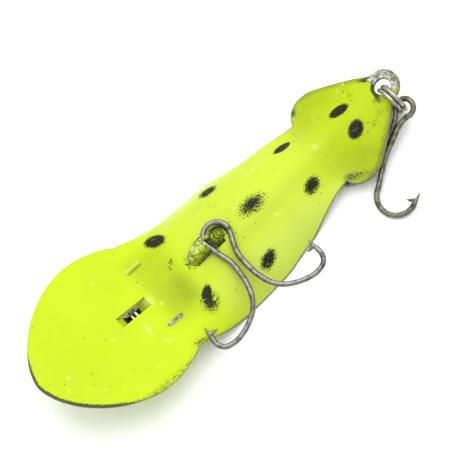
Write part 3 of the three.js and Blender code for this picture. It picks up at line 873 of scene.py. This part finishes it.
def turned_with_tie(points):
    """Turns points about the upright through the line tie's ring, as the tie lies a little askew."""
    turn = math.radians(LINE_TIE["turn"])
    centre = np.array([LINE_TIE["ring_x"], 0, 0])
    matrix = np.array([[math.cos(turn), -math.sin(turn), 0], [math.sin(turn), math.cos(turn), 0], [0, 0, 1]])
    return (points - centre) @ matrix.T + centre


def build_line_tie(material):
    """The strip lanced down out of the lip, which holds the front split ring."""
    front, back, ring_x = LINE_TIE["front"], LINE_TIE["back"], LINE_TIE["ring_x"]
    floor = lip_height(ring_x) - LINE_TIE["depth"]
    stations = [(front - 0.6, lip_height(front - 0.6) - 0.1), (front + 0.1, lip_height(front) - 0.25),
                (front + 0.9, lip_height(front) - 1.2), (ring_x - 1.0, floor + 0.1),
                (ring_x + 0.8, floor - 0.1), (back - 1.4, lip_height(back) - 1.1),
                (back - 0.2, lip_height(back) - 0.2), (back + 0.6, lip_height(back + 0.6) - 0.1)]
    line = catmull([(x, z, 0) for x, z in stations], 8)[:, :2]
    points, faces = strip_solid(line, LINE_TIE)
    strip = new_piece("line_tie_strip", turned_with_tie(points), faces, "body", "yellow_paint", material)
    sharpen(strip, 50)
    mark_strip(strip, tie_marks)


# --- Wire pieces --------------------------------------------------------------------------------

def arc(spec):
    """Points on an arc in a hook's own plane."""
    angles = np.radians(np.linspace(spec["from"], spec["to"], spec["count"]))
    centre = np.array(spec["centre"])
    return [tuple(centre + spec["radius"] * np.array([math.cos(a), math.sin(a)])) for a in angles]


TAIL_LEG = [*TAIL_SHANK, (12, 1.1), *arc(TAIL_BEND)]
UNDER_LEG = [*TAIL_SHANK, (11.2, 1.05), *arc(UNDER_BEND)]


def hook_plane(hook):
    """Maps a point (u, v) of the hook's own plane into the fold frame; u runs from eye to bends."""
    turn, droop = math.radians(hook["turn"]), math.radians(hook["droop"])
    flat = np.array([-math.cos(turn), -math.sin(turn), 0])
    u = flat * math.cos(droop) - np.array([0, 0, math.sin(droop)])
    v = np.array([math.sin(turn), -math.cos(turn), 0])
    return lambda p: np.array(hook["eye"]) + p[0] * u + p[1] * v


def spur(point, side):
    """The barb of one point in the hook's plane: its root inside the wire and its free end."""
    tip, root, barb = (np.array(point[key]) * (1, side) for key in ("tip", "root", "barb"))
    return [root + (tip - root) * 0.25, root * 0.45 + barb * 0.55 + (tip - root) * 0.08, barb]


def build_hook(name, node, body, hook, legs, loop, points, material):
    """A double hook: one wire from point to point round the eye, drawn to two barbed points."""
    to_fold = hook_plane(hook)
    halves = []
    for leg, point in zip(legs, points):
        tip, root = np.array(point["tip"]), np.array(point["root"])
        halves.append([tuple(tip), tuple(root + (tip - root) * 0.55), tuple(root), *reversed(leg)])
    other = [(u, -v) for u, v in reversed(halves[1])]
    line = catmull([to_fold(p) for p in [*halves[0], *arc(loop), *other]], 9)
    steps = np.concatenate([[0], np.cumsum(np.linalg.norm(np.diff(line, axis=0), axis=1))])
    from_end = np.minimum(steps, steps[-1] - steps)
    radii = HOOK_WIRE / 2 * (0.04 + 0.96 * np.clip(from_end / POINT_TAPER, 0, 1) ** 0.85)
    parts = [tube(line, radii)]
    for point, side in zip(points, (1, -1)):
        spur_line = catmull([to_fold(p) for p in spur(point, side)], 8)
        taper = HOOK_WIRE * 0.48 * np.linspace(1, 0.03, len(spur_line)) ** 0.8
        parts.append(tube(spur_line, taper, sides=14))
    piece = new_piece(name, *joined(*parts), body, "hook_wire", material)
    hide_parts(node)


def build_ring(name, node, body, centre, ring, material):
    """A split ring: nearly two turns of round wire, with cut ends."""
    turns = np.linspace(0, 1, 150)
    angle = ring["start"] + turns * RING_TURNS * 2 * math.pi
    line = np.stack([centre[0] + (turns - 0.5) * RING_TURNS * RING_PITCH,
                     centre[1] + ring["radius"] * np.cos(angle),
                     centre[2] + ring["radius"] * np.sin(angle)], axis=1)
    radii = np.full(len(line), ring["wire"] / 2)
    radii[[0, -1]] *= 0.8
    piece = new_piece(name, *tube(line, radii), body, "ring_wire", material)
    sharpen(piece, 50)
    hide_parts(node)


# --- Build --------------------------------------------------------------------------------------

def build_lure():
    """Every piece of the lure, with its material."""
    paint = paint_material("chartreuse_enamel")
    build_sheet(paint)
    build_bridge(paint)
    build_line_tie(paint)
    build_hook("belly_hook_wire", "belly_double_hook", "belly_hook", BELLY_HOOK, (BELLY_LEG, BELLY_LEG),
               BELLY_LOOP, (BELLY_POINT, BELLY_POINT), wire_material("belly_hook_steel", *BELLY_STEEL))
    build_hook("tail_hook_wire", "tail_double_hook", "tail_hook", TAIL_HOOK, (TAIL_LEG, UNDER_LEG),
               TAIL_LOOP, (TAIL_POINT, UNDER_POINT), wire_material("tail_hook_steel", *TAIL_STEEL))
    ring_wire = wire_material("split_ring_steel", *RING_STEEL)
    build_ring("tail_ring_wire", "tail_split_ring", "tail_ring", TAIL_RING_CENTRE, TAIL_RING, ring_wire)
    ring_x = LINE_TIE["ring_x"]
    underside = lip_height(ring_x) - SHEET / math.cos(LIP_TILT)
    middle = underside - TIE_RING_GAP - TIE_RING["wire"] / 2 - TIE_RING["radius"]
    build_ring("line_ring_wire", "line_tie_split_ring", "line_ring", (ring_x, 0, middle), TIE_RING, ring_wire)


# --- Stage, light and camera --------------------------------------------------------------------

def build_floor():
    """A pale table top."""
    s = Shader("pale_table")
    tone = s.ramp(s.noise(9, 3, 0.5), 0.3, 0.7)
    s.feed(s.surface.inputs["Base Color"], s.mix(tone, FLOOR_WHITE, FLOOR_BRIGHT))
    s.surface.inputs["Roughness"].default_value = 0.7
    s.surface.inputs["Specular IOR Level"].default_value = 0.2
    mesh = bpy.data.meshes.new("table_top")
    r = FLOOR_REACH
    mesh.from_pydata([(-r, -r, 0), (r, -r, 0), (r, r, 0), (-r, r, 0)], [], [(0, 1, 2, 3)])
    floor = bpy.data.objects.new("table_top", mesh)
    floor.data.materials.append(s.material)
    bpy.context.scene.collection.objects.link(floor)


def soft_light(name, place_at, size, watts):
    """A round lamp that shines at the lure."""
    light = bpy.data.lights.new(name, "AREA")
    light.shape = "DISK"
    light.size = size
    light.energy = watts
    lamp = bpy.data.objects.new(name, light)
    lamp.location = place_at
    lamp.rotation_mode = "QUATERNION"
    lamp.rotation_quaternion = (-Vector(place_at)).to_track_quat("-Z", "Y")
    bpy.context.scene.collection.objects.link(lamp)


def build_light():
    """A tent of soft light, brighter overhead, and one broad lamp beyond the tail and the left side."""
    world = bpy.data.worlds.new("light_tent")
    world.use_nodes = True
    tree = world.node_tree
    direction = tree.nodes.new("ShaderNodeTexCoord").outputs["Generated"]
    parts = tree.nodes.new("ShaderNodeSeparateXYZ")
    level = tree.nodes.new("ShaderNodeMapRange")
    tree.links.new(direction, parts.inputs[0])
    tree.links.new(parts.outputs["Z"], level.inputs[0])
    for socket, number in zip(level.inputs[1:5], (0.0, 1.0, TENT_AT_TABLE, TENT_OVERHEAD)):
        socket.default_value = number
    background = tree.nodes["Background"]
    background.inputs[0].default_value = (1, 1, 1, 1)
    tree.links.new(level.outputs[0], background.inputs[1])
    bpy.context.scene.world = world
    soft_light("key_light", KEY_LIGHT_AT, KEY_LIGHT_SIZE, KEY_LIGHT_WATTS)


def build_camera():
    """The photograph's view: from above and behind the side with the hook bends, rolled."""
    azimuth, elevation, roll = (math.radians(CAMERA[key]) for key in ("azimuth", "elevation", "roll"))
    ahead = Vector((math.sin(azimuth) * math.cos(elevation), math.cos(azimuth) * math.cos(elevation),
                    -math.sin(elevation)))
    level = Vector((math.cos(azimuth), -math.sin(azimuth), 0))
    upright = level.cross(ahead)
    right = level * math.cos(roll) - upright * math.sin(roll)
    up = level * math.sin(roll) + upright * math.cos(roll)
    spot = Vector(place(CAMERA_TARGET)) - ahead * CAMERA["distance"]
    lens = bpy.data.cameras.new("photo_camera")
    lens.sensor_width = CAMERA["sensor"]
    lens.lens = CAMERA["lens"]
    lens.clip_start, lens.clip_end = 0.01, 10
    camera = bpy.data.objects.new("photo_camera", lens)
    turn = Matrix((right, up, -ahead)).transposed().to_4x4()
    camera.matrix_world = Matrix.Translation(spot) @ turn
    bpy.context.scene.collection.objects.link(camera)
    bpy.context.scene.camera = camera


build_lure()
build_floor()
build_light()
build_camera()
bpy.context.scene.view_settings.view_transform = "Standard"
